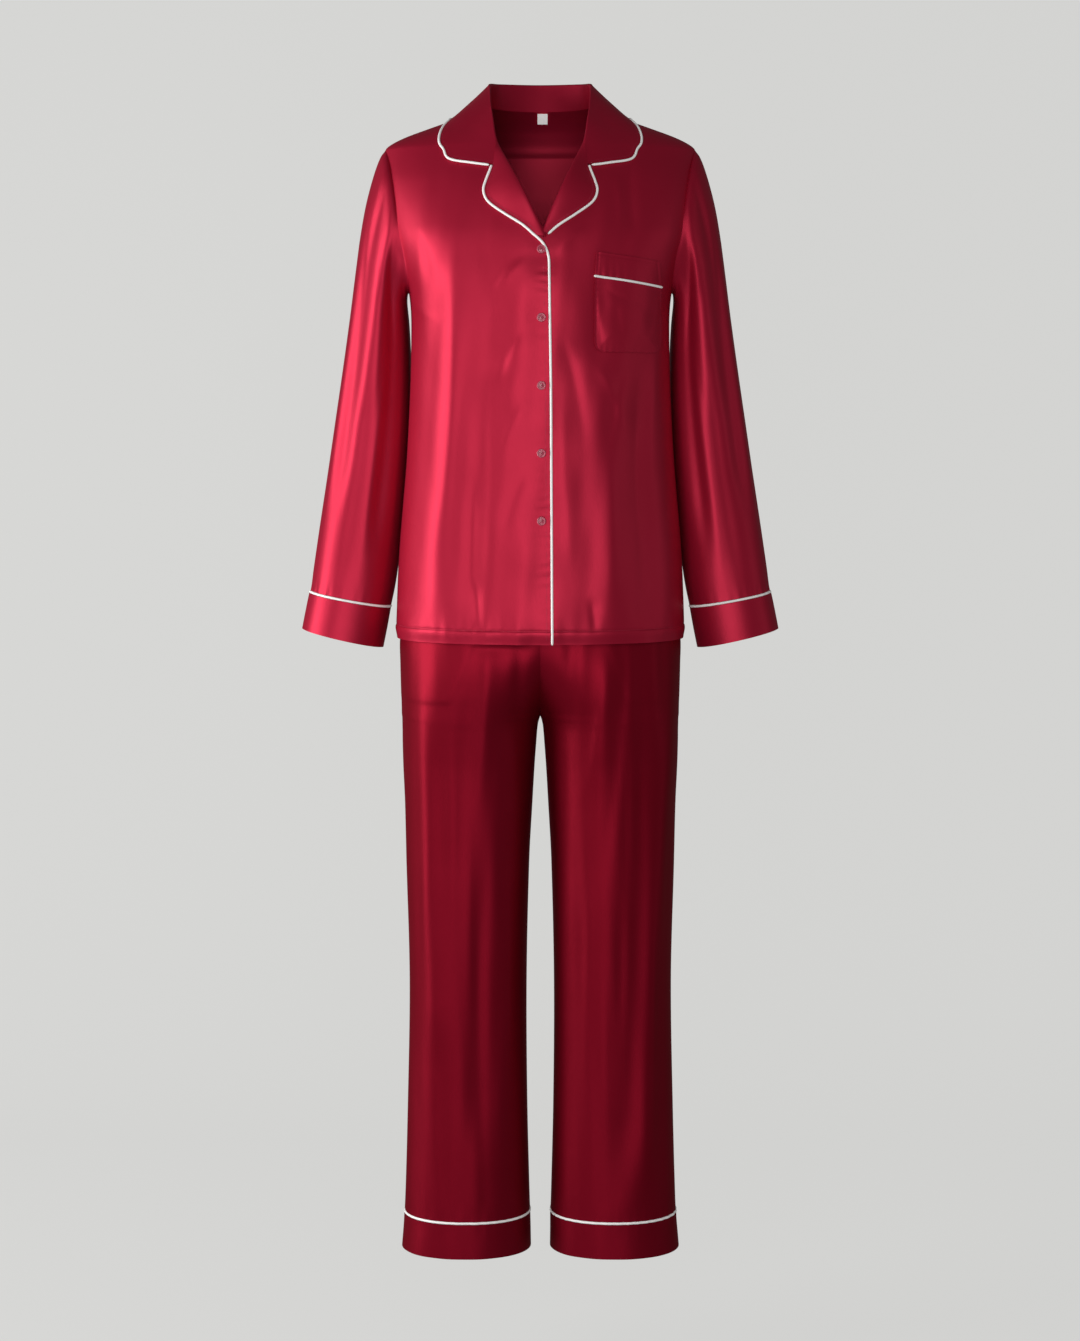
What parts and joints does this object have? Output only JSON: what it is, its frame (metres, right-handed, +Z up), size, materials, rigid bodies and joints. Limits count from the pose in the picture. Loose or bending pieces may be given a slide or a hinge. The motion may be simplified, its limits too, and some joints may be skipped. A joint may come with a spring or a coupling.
{
  "type": "pyjama set",
  "caption": "Satin pyjama set in worn form: notch-collar button shirt with a chest patch pocket over straight long trousers, with contrast piping on all edges.",
  "frame": {"origin": "between the shoulders, at the height where they bear the shirt, in the plane of the side seams", "axes": "+Z up, +Y towards the back, so the buttoned front faces -Y; +X towards the wearer's left"},
  "size_m": [0.62, 0.2686, 1.5163],
  "materials": {
    "satin_shirt": "crimson satin, smooth with soft long highlights",
    "satin_trousers": "deep wine satin, smooth with soft long highlights",
    "piping": "white corded satin piping",
    "button": "glossy red resin with a raised rim",
    "label": "white woven tape, blank"
  },
  "bodies": {
    "root": {"shirt_back": "satin_shirt", "shirt_front_right": "satin_shirt", "shirt_front_left": "satin_shirt", "collar": "satin_shirt", "lapel_right": "satin_shirt", "lapel_left": "satin_shirt", "pocket": "satin_shirt", "pocket_band": "satin_shirt", "sleeve_right": "satin_shirt", "sleeve_left": "satin_shirt", "cuff_right": "satin_shirt", "cuff_left": "satin_shirt", "waistband": "satin_trousers", "trouser_front_right": "satin_trousers", "trouser_front_left": "satin_trousers", "trouser_back_right": "satin_trousers", "trouser_back_left": "satin_trousers", "leg_cuff_right": "satin_trousers", "leg_cuff_left": "satin_trousers", "piping_collar": "piping", "piping_front": "piping", "piping_lapel_left": "piping", "piping_pocket": "piping", "piping_cuff_right": "piping", "piping_cuff_left": "piping", "piping_leg_right": "piping", "piping_leg_left": "piping", "button_1": "button", "button_2": "button", "button_3": "button", "button_4": "button", "button_5": "button", "neck_label": "label"}
  },
  "joints": []
}
